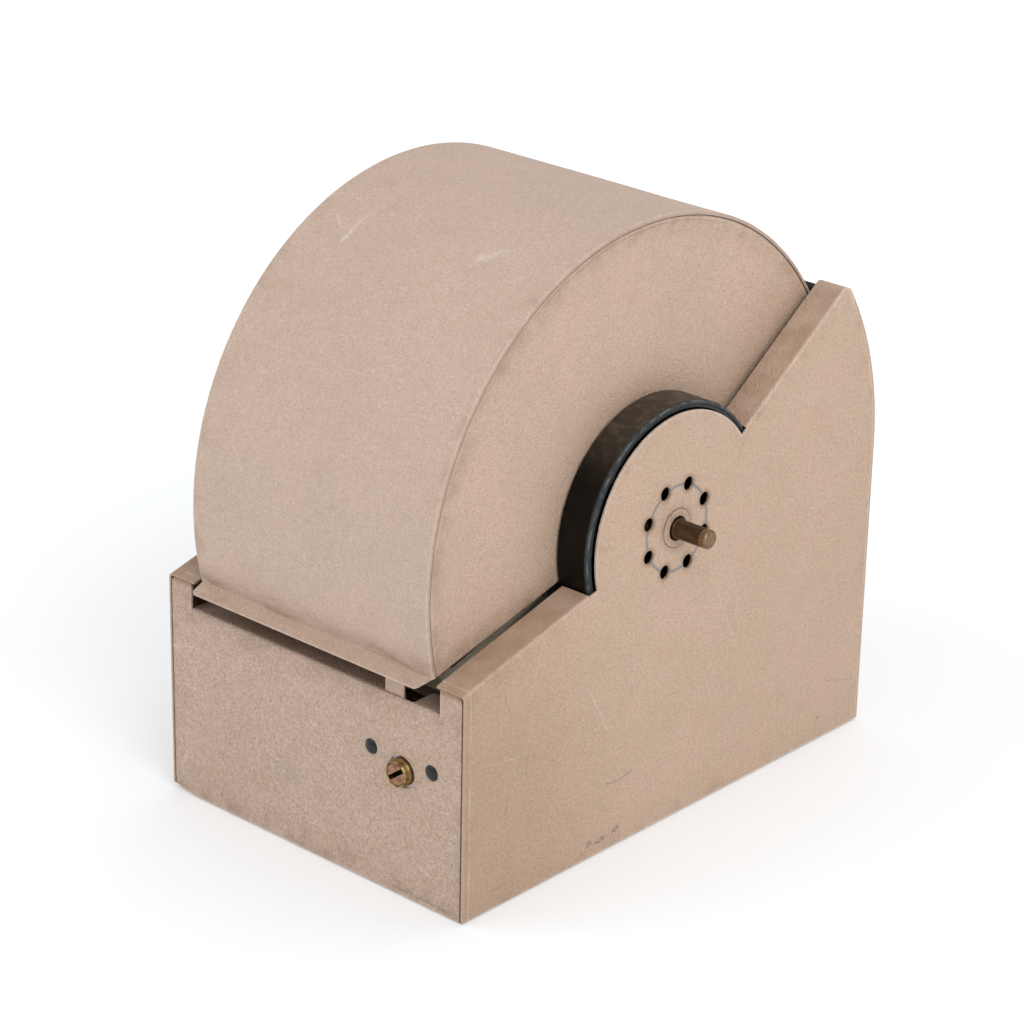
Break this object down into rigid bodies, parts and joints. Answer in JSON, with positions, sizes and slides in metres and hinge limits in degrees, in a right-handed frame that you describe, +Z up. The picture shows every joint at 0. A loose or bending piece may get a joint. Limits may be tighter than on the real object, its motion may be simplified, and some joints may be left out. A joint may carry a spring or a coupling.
{
  "type": "covered rotary card file",
  "caption": "Sheet-steel desk file: a drum of index cards on a brass spindle under a half-round cover that rolls back and locks.",
  "frame": {"origin": "centre of the bottom of the whole object's box, on the table under the spindle", "axes": "+X along the spindle towards its bare end, -Y towards the front panel with the lock, +Z up"},
  "size_m": [0.216, 0.2792, 0.2753],
  "materials": {
    "tan_paint": "wrinkle-textured pinkish tan stove enamel, worn at the edges",
    "black_enamel": "semi-gloss black enamel, rubbed grey on the rim",
    "brass": "aged brass, brown in the low spots",
    "copper_plug": "copper-coloured worn lock face",
    "zinc_steel": "plain zinc-plated steel",
    "dark_steel": "blackened steel, smooth",
    "rubber": "matt black rubber",
    "card_stock": "cream card stock",
    "divider_board": "buff pressboard dividers",
    "knob_black": "moulded black plastic"
  },
  "bodies": {
    "housing": {"right_side_panel": "tan_paint", "left_side_panel": "tan_paint", "front_panel": "tan_paint", "back_panel": "tan_paint", "bottom_plate": "tan_paint", "bottom_screws": "dark_steel", "rubber_feet": "rubber", "foot_rivets": "dark_steel", "hub_cup_right": "black_enamel", "hub_cup_left": "black_enamel", "pivot_collar_right": "zinc_steel", "pivot_collar_left": "zinc_steel", "collar_screws": "dark_steel", "cover_stop_pins": "dark_steel", "axle_eyelet_right": "tan_paint", "axle_eyelet_left": "tan_paint", "axle_bush_right": "brass", "axle_bush_left": "brass", "lock_mount_plate": "zinc_steel", "lock_rivets": "dark_steel", "lock_barrel": "brass", "lock_nut": "zinc_steel", "rear_bumper_strip": "rubber"},
    "lock": {"lock_plug": "copper_plug", "lock_cam": "zinc_steel", "cam_screw": "dark_steel"},
    "cover": {"cover_skin": "tan_paint", "cover_side_right": "tan_paint", "cover_side_left": "tan_paint", "latch_tab": "tan_paint", "cover_rear_stiffener": "tan_paint"},
    "drum": {"axle": "brass", "drum_disc_right": "zinc_steel", "drum_disc_left": "zinc_steel", "rail_wheel_right": "zinc_steel", "rail_wheel_left": "zinc_steel", "tie_rods": "zinc_steel", "drum_collars": "zinc_steel", "collar_set_screws": "dark_steel", "thrust_washers": "zinc_steel", "spring_washer": "zinc_steel", "index_cards": "card_stock", "tab_dividers": "divider_board", "knob_left": "knob_black", "knob_insert": "brass", "knob_set_screw": "dark_steel", "detent_ball": "zinc_steel", "detent_spring": "zinc_steel"}
  },
  "joints": [
    {"name": "cover_hinge", "type": "hinge", "parent": "housing", "child": "cover", "pos_m": [0, -0.00091, 0.141], "axis": [-1, 0, 0], "range_deg": [0, 160]},
    {"name": "drum_spin", "type": "hinge", "parent": "housing", "child": "drum", "pos_m": [0, -0.00091, 0.141], "axis": [1, 0, 0], "continuous": true},
    {"name": "lock_turn", "type": "hinge", "parent": "housing", "child": "lock", "pos_m": [0.0533, -0.00091, 0.0595], "axis": [0, 1, 0], "range_deg": [0, 90]}
  ]
}
